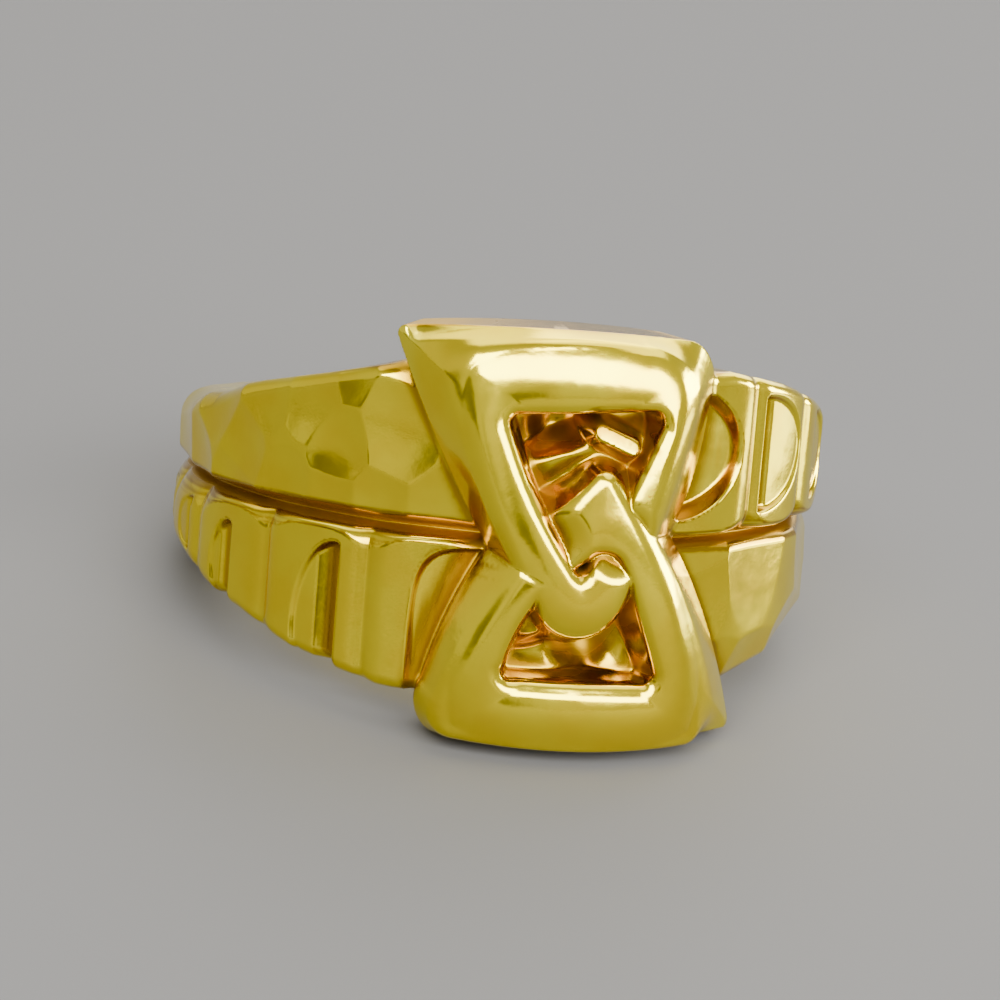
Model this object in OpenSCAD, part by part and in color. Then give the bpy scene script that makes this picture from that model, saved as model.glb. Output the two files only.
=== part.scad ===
// Gold ring: two bands that run side by side round the finger and, on the front, an ornament
// of two interlocked triangular frames.
//
// The ring's own frame has the finger's axis along Z and the ornament on -Y. A place on it is
// [angle, height]: the angle runs from the ornament's middle towards +X, the height along Z.
// Half a turn about Y brings the ring onto itself: the band that is hammered on one side is
// ribbed on the other, and the second band and the second frame are the first ones turned over.

/* [Finger hole] */
// Diameter of the finger hole
bore_d = 17.3; // [15:0.1:21]

/* [Bands] */
// Thickness of metal where a band is hammered
hammered_wall = 1.7; // [1.4:0.05:2.2]
// Thickness of metal where a band is ribbed
ribbed_wall = 1.85; // [1.5:0.05:2.4]
// Rounding of a band's outer edge
band_edge = 0.3; // [0.1:0.05:0.5]
// Depth of the groove between the bands
groove_depth = 0.75; // [0.3:0.05:1]
// Width of the groove at its mouth
groove_w = 0.7; // [0.3:0.05:1]

/* [Hammered facets] */
// Depth of a hammered facet at its middle
facet_depth = 0.1; // [0.04:0.01:0.2]
// Angle from one facet to the next
facet_pitch = 13; // [9:1:18]
// Number of facets in a row
facet_count = 8; // [4:1:9]
// Tilt of a facet towards its edge of the band
facet_tilt = 5; // [0:1:10]
// Angle of the first facet from the ornament's middle
facet_start = 24; // [20:1:30]

/* [Ribs] */
// Depth of a notch at its steep wall
notch_depth = 0.5; // [0.2:0.05:0.7]

/* [Ornament] */
// Thickness of metal from the finger hole to the ornament's face
face_wall = 3.45; // [2.8:0.05:4.5]
// Height of the whole ornament
ornament_h = 12.5; // [11.5:0.1:13]
// Rounding of the face's outer edges
face_edge = 0.4; // [0.2:0.05:0.45]
// Rounding of the edges round the two openings
hole_edge = 0.25; // [0.1:0.05:0.35]
// How far a leg sinks where the other frame passes over it
dip = 0.75; // [0.4:0.05:1]
// Reach of that dip along the leg
dip_reach = 2.2; // [1.5:0.1:3]

/* [Rest] */
// Tilt of the finger's axis as the ring lies on its side
rest_tilt = 14.05; // [0:0.05:20]
// Lean to one side as the ring lies on its side
rest_lean = -1.25; // [-5:0.05:5]
// Shift along X that centres the lying ring
rest_x = 0.0; // [-1:0.01:1]
// Shift along Y that centres the lying ring
rest_y = 1.35; // [-2:0.01:2]
// Lift that brings the lying ring's lowest point to zero
rest_z = 3.993; // [3:0.001:8]

/* [Hidden] */

bore_r = bore_d / 2;
face_r = bore_r + face_wall;
// The ornament's flared side walls reach the bands this far above their hammered outside
foot_rise = 0.25;
foot_r = bore_r + hammered_wall + foot_rise;
groove_r = bore_r + ribbed_wall - groove_depth;
// The groove's floor rounds up into its walls over this height and width
groove_fillet = [0.1, 0.05];
// The bands and the frames start this far inside the finger hole, which then cuts them
inset = 0.35;
frame_inset = 0.5;
// The two bands run this far into each other below the groove
overlap = 0.05;
// An edge's rounding is drawn with one point this share of its radius from either face
soft = 0.3;
// A frame's opening narrows by this much from its edge to the finger hole
draft = 0.1;
// Heights of the two points of the groove's shoulder, as shares of half the groove's width
shoulder_shares = [0.75, 1.6];
// The flat of a band's outside runs between these shares of its width
flat_shares = [0.35, 0.65];
// The outer edge runs down its far side by this many times its rounding
edge_reach = 2.4;

// Angle from the ornament, width of the hammered side and width of the ribbed side
ANGLE = 0;
HAMMERED = 1;
RIBBED = 2;
band_widths = [
    [0, 5.3, 5.35],
    [30, 4.9, 5],
    [45, 4.2, 4.45],
    [60, 3.55, 3.65],
    [75, 2.95, 3.1],
    [90, 2.5, 2.75],
    [130, 1.8, 1.95],
    [180, 1.6, 1.6],
];

// Each notch: angle of its steep wall, and of the far end where it runs out
WALL = 0;
RUNOUT = 1;
notches = [
    [26, 33],
    [41, 50],
    [64, 69],
    [79, 85],
    [97, 103],
];

// Height of a notch's middle and half its width, as shares of the band's width
notch_middle = 0.6;
notch_half = 0.43;
// Heights of the two rows of facets, as shares of the band's width
facet_rows = [0.32, 0.75];
// Length along the band and height of the block that cuts a facet
facet_block = [8, 3];

// Frame corners: angle as length round the face, height, rounding, and outward bow of the side
// that follows. The rows are the long corner, the tip and the short corner.
ALONG = 0;
HEIGHT = 1;
ROUND = 2;
BOW = 3;
upper_face = [[-3.5, 5.75, 0.45, 0.35], [0.1, -1.15, 1.3, 0.2], [2.05, 4.45, 1.75, 0.1]];
upper_hole = [[-2.75, 3.8, 0.3, 0], [0.35, -0.85, 0.25, 0], [2.75, 4.1, 0.4, 0]];
upper_foot = [[-6, 5.95, 0.25, 0], [0.2, -1.2, 1.9, 0.3], [4.1, 4.9, 1.3, 0.2]];
// The lower frame's rows are given turned over, as the upper's
lower_face = [[-5.3, 5.7, 0.5, 0.6], [-0.7, -1.4, 1, 0.35], [3.1, 5.5, 0.7, 0.1]];
lower_hole = [[-2.85, 3.85, 0.3, 0.1], [-0.7, 0.6, 0.7, 0], [2.1, 3.7, 0.35, 0]];
lower_foot = [[-6.1, 5.9, 0.3, 0.5], [-0.6, -1.5, 1.5, 0.4], [3.9, 5.2, 1, 0.1]];
// Where the other frame crosses over the leg between the tip and the short corner
crossing = [1.8, 0.85];

// Steps round a frame's corner and along its side, round the bands, a notch and the finger hole
corner_steps = 6;
side_steps = 7;
band_steps = 120;
notch_steps = 28;
bore_steps = 96;

// Point of the ring at an angle, radius and height
function polar(angle, radius, height) = [radius * sin(angle), -radius * cos(angle), height];

function side_of(angle) = angle < 0 ? HAMMERED : RIBBED;

// Width of the upper band, from the groove to its outer edge
function band_width(angle) =
    lookup(abs(angle), [for (row = band_widths) [row[ANGLE], row[side_of(angle)]]]);

// Outer radius of the upper band, which changes under the ornament and at the back
function band_radius(angle) = bore_r + lookup(angle, [
    [-180, ribbed_wall], [-150, hammered_wall], [-15, hammered_wall],
    [15, ribbed_wall], [180, ribbed_wall],
]);

// Cross-section of the upper band as points [radius, height], from the groove outwards
function band_profile(angle) =
    let (radius = band_radius(angle), width = band_width(angle), shoulder = groove_w / 2)
    [
        [bore_r - inset, -overlap],
        [groove_r, -overlap],
        [groove_r + groove_fillet[0], groove_fillet[1]],
        [radius - band_edge, shoulder * shoulder_shares[0]],
        [radius - band_edge * soft, shoulder * shoulder_shares[1]],
        [radius, width * flat_shares[0]],
        [radius, width * flat_shares[1]],
        [radius - band_edge * soft, width - band_edge],
        [radius - band_edge, width - band_edge * soft],
        [radius - band_edge * edge_reach, width],
        [bore_r - inset, width],
    ];

// Closed skin through a loop of equal sections, each a loop of points
module skin(sections) {
    count = len(sections);
    size = len(sections[0]);
    polyhedron(
        points = [for (section = sections) each section],
        faces = [
            for (i = [0:count - 1], j = [0:size - 1])
            let (
                here = i * size,
                next = ((i + 1) % count) * size,
                k = (j + 1) % size
            )
            each [[here + j, here + k, next + k], [here + j, next + k, next + j]],
        ],
        convexity = 8
    );
}

// Puts its children at an angle on the ring: X runs round the ring, Y along it, Z outwards
module place(angle, radius, height) {
    rotate([0, 0, angle])
    rotate([90, 0, 0])
    translate([0, height, radius])
    children();
}

// One notch of the ribbed side: a D with a steep straight wall and a floor that runs out
module notch(row) {
    radius = band_radius(row[WALL]);
    width = band_width(row[WALL]);
    length = radius * sin(row[RUNOUT] - row[WALL]);
    sagitta = radius * (1 - cos(row[RUNOUT] - row[WALL]));
    place(row[WALL], radius - notch_depth, width * notch_middle)
    rotate([0, -atan((notch_depth - sagitta) / length), 0])
    linear_extrude(notch_depth * 4)
    intersection() {
        scale([length, width * notch_half]) circle(1, $fn = notch_steps);
        translate([0, -width]) square([length, width * 2]);
    }
}

// Flat facets in two rows, the outer row half a pitch on
module facets() {
    for (i = [0:facet_count - 1], outer = [0, 1]) {
        angle = -facet_start - facet_pitch * (i + outer / 2);
        height = band_width(angle) * facet_rows[outer];
        place(angle, band_radius(angle) - facet_depth, height)
        rotate([outer == 1 ? -facet_tilt : facet_tilt, 0, 0])
        translate([-facet_block.x / 2, -facet_block.x / 2, 0])
        cube([facet_block.x, facet_block.x, facet_block.y]);
    }
}

// The upper band, hammered towards -X and ribbed towards +X
module band() {
    difference() {
        skin([
            for (i = [0:band_steps - 1])
            let (angle = -180 + 360 * i / band_steps)
            [for (p = band_profile(angle)) polar(angle, p[0], p[1])]
        ]);
        facets();
        for (row = notches) notch(row);
    }
}

// Direction square to the line that touches two of a frame's corners from outside
function side_normal(p, q) =
    let (
        run = [q[ALONG] - p[ALONG], q[HEIGHT] - p[HEIGHT]],
        turn = acos((p[ROUND] - q[ROUND]) / norm(run))
    )
    atan2(run.y, run.x) - turn;

function on_corner(p, normal, grow) =
    [p[ALONG], p[HEIGHT]] + (p[ROUND] + grow) * [cos(normal), sin(normal)];

// Outline of a frame, larger all round by grow
function outline(rows, grow = 0) = [
    for (k = [0:2])
    let (
        p = rows[k],
        q = rows[(k + 1) % 3],
        start = side_normal(rows[(k + 2) % 3], p),
        normal = side_normal(p, q),
        end = normal < start ? normal + 360 : normal,
        from = on_corner(p, end, grow),
        to = on_corner(q, end, grow)
    )
    each concat(
        [for (i = [0:corner_steps]) on_corner(p, start + (end - start) * i / corner_steps, grow)],
        [
            for (i = [1:side_steps - 1])
            let (t = i / side_steps)
            from + (to - from) * t + 4 * t * (1 - t) * p[BOW] * [cos(end), sin(end)]
        ]
    )
];

// How far the face lies below its full height at a place
function sink(place) =
    let (near = max(0, 1 - pow(norm(place - crossing) / dip_reach, 2)))
    dip * near * near;

// A loop of points at a depth below the face; a sunk loop follows the leg's dip
function loop_at(rows, grow, radius, sunk) = [
    for (p = outline(rows, grow))
    polar(p.x / face_r * 180 / PI, radius - (sunk ? sink(p) : 0), p.y)
];

// One triangular frame with flared side walls, rounded edges and an open middle
module frame(face, hole, foot) {
    loops = [
        loop_at(hole, -draft, bore_r - frame_inset, false),
        loop_at(hole, 0, face_r - hole_edge, true),
        loop_at(hole, hole_edge * soft, face_r - hole_edge * soft, true),
        loop_at(hole, hole_edge, face_r, true),
        loop_at(face, -face_edge, face_r, true),
        loop_at(face, -face_edge * soft, face_r - face_edge * soft, true),
        loop_at(face, 0, face_r - face_edge, true),
        loop_at(foot, 0, foot_r, false),
        loop_at(foot, 0, bore_r - frame_inset, false),
    ];
    skin(loops);
}

module ring() {
    color("gold")
    translate([rest_x, rest_y, rest_z])
    rotate([0, rest_lean, 0])
    rotate([-rest_tilt, 0, 0])
    difference() {
        resize([0, 0, ornament_h])
        union() {
            band();
            rotate([0, 180, 0]) band();
            frame(upper_face, upper_hole, upper_foot);
            rotate([0, 180, 0]) frame(lower_face, lower_hole, lower_foot);
        }
        cylinder(h = ornament_h * 2, d = bore_d, center = true, $fn = bore_steps);
    }
}

ring();
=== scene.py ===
"""Gold ring: two bands, hammered and ribbed by turns, and two interlocked triangular frames.

The ring's own frame has the finger's axis along Z and the ornament on -Y. A place on it is an angle
(from the ornament's middle towards +X, in degrees), a radius and a height along the axis, in
millimetres. RestingPlace turns that frame to the way the ring lies on its side, in metres.
"""

import logging
import math
from collections.abc import Callable
from dataclasses import dataclass, field
from enum import Enum
from itertools import product

import bpy
import numpy as np
from mathutils import Matrix, Quaternion, Vector


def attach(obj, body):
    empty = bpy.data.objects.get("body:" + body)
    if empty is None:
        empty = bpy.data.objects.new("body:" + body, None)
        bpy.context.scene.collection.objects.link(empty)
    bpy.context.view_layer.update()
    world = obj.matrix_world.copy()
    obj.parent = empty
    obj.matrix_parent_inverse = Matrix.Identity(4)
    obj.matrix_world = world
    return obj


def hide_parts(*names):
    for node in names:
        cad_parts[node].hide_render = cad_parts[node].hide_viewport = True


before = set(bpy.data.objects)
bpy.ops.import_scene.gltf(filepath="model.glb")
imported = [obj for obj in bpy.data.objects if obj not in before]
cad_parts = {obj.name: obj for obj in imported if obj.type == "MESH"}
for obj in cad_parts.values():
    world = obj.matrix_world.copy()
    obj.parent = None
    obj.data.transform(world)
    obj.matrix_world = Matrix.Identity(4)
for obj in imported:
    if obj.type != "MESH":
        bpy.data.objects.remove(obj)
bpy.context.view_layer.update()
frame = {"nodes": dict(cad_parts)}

log = logging.getLogger("gold_ring")
Array = np.ndarray
Colour = tuple[float, float, float]
MM = 0.001
TINY = 1e-9
VAST = 1e9
CELL_CORNERS = tuple(product((0, 1), repeat=3))


def ease(low: float, high: float, x: Array) -> Array:
    """Rise smoothly from 0 at low to 1 at high.

    Args:
        low: Where the rise starts.
        high: Where it ends.
        x: Places to read it at.

    Returns:
        Values from 0 to 1.
    """
    share = np.clip((x - low) / (high - low), 0.0, 1.0)
    return share * share * (3.0 - 2.0 * share)


def join_filleted(a: Array, b: Array, radius: float) -> Array:
    """Join two solids with a fillet where they meet.

    Args:
        a: Signed distances to the first solid.
        b: Signed distances to the second solid.
        radius: Radius of the fillet.

    Returns:
        Signed distances to both together.
    """
    corner = np.hypot(np.maximum(radius - a, 0.0), np.maximum(radius - b, 0.0))
    return np.maximum(radius, np.minimum(a, b)) - corner


def cut_rounded(a: Array, b: Array, radius: Array | float) -> Array:
    """Keep what lies in both solids, with a rounded edge between them.

    Args:
        a: Signed distances to the first solid.
        b: Signed distances to the second solid.
        radius: Radius of the edge.

    Returns:
        Signed distances to the common part.
    """
    corner = np.hypot(np.maximum(radius + a, 0.0), np.maximum(radius + b, 0.0))
    return np.minimum(-radius, np.maximum(a, b)) + corner


@dataclass(frozen=True)
class Chart:
    """A table of values over two coordinates, read smoothly between its cells."""

    start: tuple[float, float]
    step: tuple[float, float]
    values: Array

    def at(self, first: Array, second: Array) -> Array:
        """Read the chart.

        Args:
            first: First coordinates.
            second: Second coordinates.

        Returns:
            The values there.
        """
        rows, columns = self.values.shape
        margin = 1.001
        x = np.clip((first - self.start[0]) / self.step[0], 0.0, rows - margin)
        y = np.clip((second - self.start[1]) / self.step[1], 0.0, columns - margin)
        i, j = x.astype(np.int32), y.astype(np.int32)
        x, y = x - i, y - j
        flat = self.values.ravel()
        k = i * columns + j
        near = flat[k] * (1 - y) + flat[k + 1] * y
        far = flat[k + columns] * (1 - y) + flat[k + columns + 1] * y
        return near * (1 - x) + far * x


def soften(values: Array, reach: float, wraps: bool) -> Array:
    """Blur a table a little, as polishing softens an edge.

    Args:
        values: The table.
        reach: Standard deviation of the blur, in cells.
        wraps: Whether the first axis closes on itself.

    Returns:
        The blurred table.
    """
    half = int(math.ceil(reach * 3))
    weights = np.exp(-0.5 * (np.arange(-half, half + 1) / reach) ** 2)
    weights /= weights.sum()
    for axis in (0, 1):
        mode = "wrap" if wraps and axis == 0 else "edge"
        pad = [(half, half) if axis == a else (0, 0) for a in (0, 1)]
        wide = np.pad(values, pad, mode=mode)
        size = values.shape[axis]
        values = sum(
            w * np.take(wide, range(k, k + size), axis=axis) for k, w in enumerate(weights)
        )
    return values


def toward(azimuth: float, elevation: float) -> Vector:
    """Give a direction, with azimuth 0 to the front and growing to the right.

    Args:
        azimuth: Angle round the vertical, in degrees.
        elevation: Angle above the horizon, in degrees.

    Returns:
        A vector of length 1.
    """
    a, e = math.radians(azimuth), math.radians(elevation)
    return Vector((math.sin(a) * math.cos(e), -math.cos(a) * math.cos(e), math.sin(e)))


@dataclass(frozen=True)
class RestingPlace:
    """How the ring lies on its side, as the part's source has it."""

    tilt: float = 14.05
    lean: float = -1.25
    shift: tuple[float, float, float] = (0.0, 1.35, 3.993)

    def turn(self) -> Array:
        """Give the rotation from the ring's frame to the row frame."""
        tilt, lean = math.radians(-self.tilt), math.radians(self.lean)
        about_x = Matrix.Rotation(tilt, 3, "X")
        about_y = Matrix.Rotation(lean, 3, "Y")
        return np.array(about_y @ about_x)

    def place(self, points: Array) -> Array:
        """Take points of the ring to the row frame.

        Args:
            points: Points in the ring's frame, in millimetres.

        Returns:
            Points in the row frame, in metres.
        """
        return (points @ self.turn().T + np.array(self.shift)) * MM


@dataclass(frozen=True)
class FingerHole:
    """The true round hole that the finger goes through."""

    radius: float = 8.65
    edge: float = 0.18


@dataclass(frozen=True)
class Facet:
    """One hammer blow: a flat that touches the band at an angle and height.

    depth is below the band's outside, slant tilts it round the ring and pitch across the band.
    bowl dishes it, as rise in millimetres one millimetre from its middle.
    """

    angle: float
    height: float
    depth: float = 0.1
    slant: float = 0.0
    pitch: float = 0.0
    bowl: float = 0.02
    widest: float = 40.0

    def radius(self, outside: float, angle: Array, height: Array) -> Array:
        """Give the radius that the blow leaves.

        Args:
            outside: The band's outer radius.
            angle: Angles from the ornament, all positive.
            height: Heights from the groove, all positive.

        Returns:
            Radii.
        """
        slant = math.radians(self.slant)
        off = np.radians(np.clip(angle - self.angle, -self.widest, self.widest))
        up = height - self.height
        flat = (outside - self.depth) * math.cos(slant) / np.cos(off - slant)
        dish = self.bowl * ((off * outside) ** 2 + up**2)
        return flat + up * math.tan(math.radians(self.pitch)) + dish


@dataclass(frozen=True)
class Notch:
    """A D-shaped notch: a steep straight wall, a sunk strip beside it and a floor that runs out.

    The wall, the runout and the strip's width are angles, low and high are heights. The wall
    falls from wall_head before its angle to wall_foot past it. run_edge is half the width of the
    D's round edge, and taper the share of its span in which the floor reaches its depth.
    """

    wall: float
    runout: float
    low: float
    high: float
    depth: float = 0.45
    floor: float = 0.22
    rim: float = 0.08
    strip: float = 2.6
    squareness: float = 2.0
    wall_head: float = 0.4
    wall_foot: float = 0.2
    run_edge: float = 0.45
    taper: float = 0.3

    def sink(self, angle: Array, height: Array) -> Array:
        """Give how deep the notch is.

        Args:
            angle: Angles from the ornament, all positive.
            height: Heights from the groove, all positive.

        Returns:
            Depths below the lobe.
        """
        middle, half = (self.low + self.high) / 2, (self.high - self.low) / 2
        across = np.clip(np.abs((height - middle) / half), 0, 1)
        span = (1 - across**self.squareness) ** (1 / self.squareness)
        end = self.wall + (self.runout - self.wall) * span
        past = np.clip((angle - self.wall) / (self.runout - self.wall), 0, 1)
        beside = np.clip(1 - (angle - self.wall) / self.strip, 0, 1)
        sunk = self.rim + (self.floor - self.rim) * (1 - past) + (self.depth - self.floor) * beside
        fallen = ease(self.wall - self.wall_head, self.wall + self.wall_foot, angle)
        inside = fallen * ease(end + self.run_edge, end - self.run_edge, angle)
        return sunk * inside * ease(0, self.taper, span)


class Quarter(Enum):
    """The four stretches of band that start at the ornament."""

    UPPER_LEFT = "upper left"
    UPPER_RIGHT = "upper right"
    LOWER_LEFT = "lower left"
    LOWER_RIGHT = "lower right"

    @property
    def ribbed(self) -> bool:
        """Tell whether this stretch is ribbed and not hammered."""
        return self in (Quarter.UPPER_RIGHT, Quarter.LOWER_LEFT)


@dataclass(frozen=True)
class Hammering:
    """The flats of a hammered stretch, each laid by one blow.

    blend rounds the ridges between them. Radii are blended as heights over a datum, within a
    span that keeps the sums in range.
    """

    outside: float = 10.38
    blend: float = 0.005
    datum: float = 10.0
    span: tuple[float, float] = (-0.8, 3.0)
    facets: tuple[Facet, ...] = ()

    def surface(self, angle: Array, height: Array) -> Array:
        """Give the radius of the hammered surface.

        Args:
            angle: Angles from the ornament, all positive.
            height: Heights from the groove, all positive.

        Returns:
            Radii.
        """
        total = np.exp(-(self.outside - self.datum) / self.blend) * np.ones_like(angle * height)
        for facet in self.facets:
            radius = facet.radius(self.outside, angle, height)
            total = total + np.exp(-np.clip(radius - self.datum, *self.span) / self.blend)
        return self.datum - self.blend * np.log(total)


@dataclass(frozen=True)
class Ribbing:
    """The lobes of a ribbed stretch, with a notch in each.

    Each lobe stands a step lower than the one before it, away from the ornament. The lobes round
    over into the groove at a shoulder, which stands higher at the creases and far from the
    ornament, past the angles in far_from.
    """

    outside: float = 10.64
    creases: tuple[float, ...] = (12.0, 32.6, 53.2, 74.7, 93.0, 112.0, 131.0, 150.0)
    crease_depth: float = 0.15
    crease_reach: float = 1.5
    crease_power: float = 1.5
    step: float = 0.05
    step_reach: float = 1.0
    least: float = 10.42
    near_shoulder: float = 0.3
    crease_shoulder: float = 0.5
    crease_shoulder_reach: float = 4.0
    far_shoulder: float = 0.75
    far_from: tuple[float, float] = (62.0, 82.0)
    notches: tuple[Notch, ...] = ()
    bevels: tuple[Facet, ...] = ()

    def surface(self, angle: Array, height: Array) -> Array:
        """Give the radius of the ribbed surface.

        Args:
            angle: Angles from the ornament, all positive.
            height: Heights from the groove, all positive.

        Returns:
            Radii.
        """
        radius = np.full(np.broadcast(angle, height).shape, self.outside)
        reach = self.step_reach
        for crease in self.creases[1:]:
            radius = radius - self.step * ease(crease - reach, crease + reach, angle)
        radius = np.maximum(radius, self.least)
        for bevel in self.bevels:
            radius = np.minimum(radius, bevel.radius(self.outside, angle, height))
        for crease in self.creases:
            off = (angle - crease) / self.crease_reach
            radius = radius - self.crease_depth * np.exp(-np.abs(off) ** self.crease_power)
        for notch in self.notches:
            radius = radius - notch.sink(angle, height)
        return radius

    def shoulder(self, angle: Array) -> Array:
        """Give the height at which the lobes round over into the groove.

        Args:
            angle: Angles from the ornament, all positive.

        Returns:
            Heights from the groove's middle.
        """
        nearest = np.min([np.abs(angle - c) for c in self.creases], axis=0)
        at_crease = np.exp(-((nearest / self.crease_shoulder_reach) ** 2))
        near = self.near_shoulder + self.crease_shoulder * at_crease
        return near + self.far_shoulder * ease(*self.far_from, angle)


@dataclass(frozen=True)
class Bands:
    """Both bands, the groove between them and their outer edges.

    Each row of widths is an angle from the ornament and the width there of the upper left, the
    upper right, the lower left and the lower right stretch, from the groove to the outer edge.
    The mouth is how far from the groove's middle a hammered stretch starts to fall into it. It
    widens far from the ornament by a share of far_shoulder, and narrows on the left. polish and
    lean_polish blur the charts, in cells.
    """

    hammering: dict[Quarter, Hammering]
    ribbing: dict[Quarter, Ribbing]
    widths: tuple[tuple[float, float, float, float, float], ...] = (
        (0, 5.3, 5.3, 5.3, 5.3),
        (30, 5.0, 5.22, 4.96, 5.1),
        (45, 4.3, 4.7, 4.4, 4.6),
        (60, 3.65, 3.97, 3.56, 4.0),
        (75, 2.87, 3.2, 3.08, 3.5),
        (90, 2.4, 2.75, 2.65, 2.75),
        (130, 1.8, 1.95, 1.9, 1.8),
        (180, 1.6, 1.6, 1.6, 1.6),
    )
    groove_radius: float = 9.7
    groove_round: float = 0.5
    groove_power: float = 1.8
    groove_flat: float = 0.06
    mouth: float = 0.46
    far_shoulder: float = 1.0
    far_from: tuple[float, float] = (66.0, 84.0)
    right_share: float = 0.6
    left_share: float = 0.1
    left_narrowing: float = 0.35
    narrow_from: tuple[float, float] = (50.0, 68.0)
    edge: float = 0.38
    far_edge: float = 0.8
    far_edge_from: tuple[float, float] = (60.0, 85.0)
    turnover: float = 8.0
    ornament_reach: float = 28.0
    mean_radius: float = 10.3
    polish: float = 1.3
    lean_polish: float = 2.0
    cell: tuple[float, float] = (0.15, 0.03)
    reach: float = 6.6

    def groove_mouth(self, away: Array, right: bool) -> Array:
        """Give how far from the groove's middle a hammered stretch starts to fall into it.

        Args:
            away: Angles from the ornament, all positive.
            right: Whether the stretch is on the right.

        Returns:
            Heights.
        """
        far = self.far_shoulder * ease(*self.far_from, away)
        if right:
            return self.mouth + far * self.right_share
        mouth = self.mouth + far * self.left_share
        return mouth * (1 - self.left_narrowing * ease(*self.narrow_from, away))

    def chart(self, floors: list["OpeningFloor"]) -> tuple[Chart, Chart]:
        """Lay out the bands' outside.

        Args:
            floors: What lies at the bottom of the frames' openings.

        Returns:
            Charts of the radius and of how far a step in radius is from a true distance.
        """
        angles = np.arange(-180, 180 + self.cell[0] / 2, self.cell[0])
        heights = np.arange(-self.reach, self.reach + self.cell[1] / 2, self.cell[1])
        a, h = np.meshgrid(angles, heights, indexing="ij")
        away, up = np.abs(a), np.abs(h)
        radius = np.zeros_like(a)
        for quarter in Quarter:
            upper = quarter in (Quarter.UPPER_LEFT, Quarter.UPPER_RIGHT)
            right = quarter in (Quarter.UPPER_RIGHT, Quarter.LOWER_RIGHT)
            here = ((h >= 0) == upper) & ((a >= 0) == right)
            if quarter.ribbed:
                ribs = self.ribbing[quarter]
                surface, mouth = ribs.surface(away, up), ribs.shoulder(away)
            else:
                surface = self.hammering[quarter].surface(away, up)
                mouth = self.groove_mouth(away, right)
            inward = np.clip((mouth - up) / (mouth - self.groove_flat), 0, 1)
            fall = 1 - (1 - inward**self.groove_power) ** self.groove_round
            surface = surface - (surface - self.groove_radius) * fall
            radius[here] = surface[here]
        front = np.abs(angles) < self.ornament_reach
        for floor in floors:
            radius[front] = floor.lay(a[front], h[front], radius[front])
        radius = soften(radius, self.polish, True)
        length = math.radians(self.cell[0]) * self.mean_radius
        steep_a, steep_h = np.gradient(radius, length, self.cell[1])
        lean = soften(1 / np.sqrt(1 + steep_a**2 + steep_h**2), self.lean_polish, True)
        start = (-180.0, -self.reach)
        return Chart(start, self.cell, radius), Chart(start, self.cell, lean)

    def width(self, angle: Array, height: Array) -> Array:
        """Give each band's width, from the groove to its outer edge.

        Args:
            angle: Angles round the ring.
            height: Heights, whose sign tells the band.

        Returns:
            Widths.
        """
        table = np.array(self.widths, float)
        columns = [np.interp(np.abs(angle), table[:, 0], table[:, n]) for n in range(1, 5)]
        rightward = ease(-self.turnover, self.turnover, angle)
        top = columns[0] + (columns[1] - columns[0]) * rightward
        bottom = columns[2] + (columns[3] - columns[2]) * rightward
        return np.where(height >= 0, top, bottom)

    def edge_radius(self, angle: Array) -> Array:
        """Give the rounding of the bands' outer edges.

        Args:
            angle: Angles round the ring.

        Returns:
            Radii of the rounding.
        """
        far = ease(*self.far_edge_from, np.abs(angle))
        return self.edge + (self.far_edge - self.edge) * far


@dataclass(frozen=True)
class Corner:
    """One rounded corner of a triangle, and the outward bow of the side that follows it."""

    along: float
    height: float
    rounding: float
    bow: float = 0.0


Triangle = tuple[Corner, Corner, Corner]


@dataclass(frozen=True)
class Dent:
    """A shallow trough pressed into a frame's flank, between two places.

    Each place is an angle, a radius and a height.
    """

    start: tuple[float, float, float]
    end: tuple[float, float, float]
    half_width: float = 0.42
    softness: float = 0.14

    def cut(self, solid: Array, angle: Array, radius: Array, height: Array) -> Array:
        """Take the trough out of a solid.

        Args:
            solid: Signed distances to the solid.
            angle: Angles round the ring.
            radius: Radii.
            height: Heights.

        Returns:
            Signed distances to what is left.
        """
        per_degree = math.radians(self.start[1])
        scale = np.array([per_degree, 1.0, 1.0])
        start, end = np.array(self.start) * scale, np.array(self.end) * scale
        run = end - start
        spot = np.stack([angle * per_degree, radius, height], -1) - start
        share = np.clip(spot @ run / (run @ run), 0, 1)
        away = np.linalg.norm(spot - share[..., None] * run, axis=-1)
        return cut_rounded(solid, self.half_width - away, self.softness)


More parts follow.
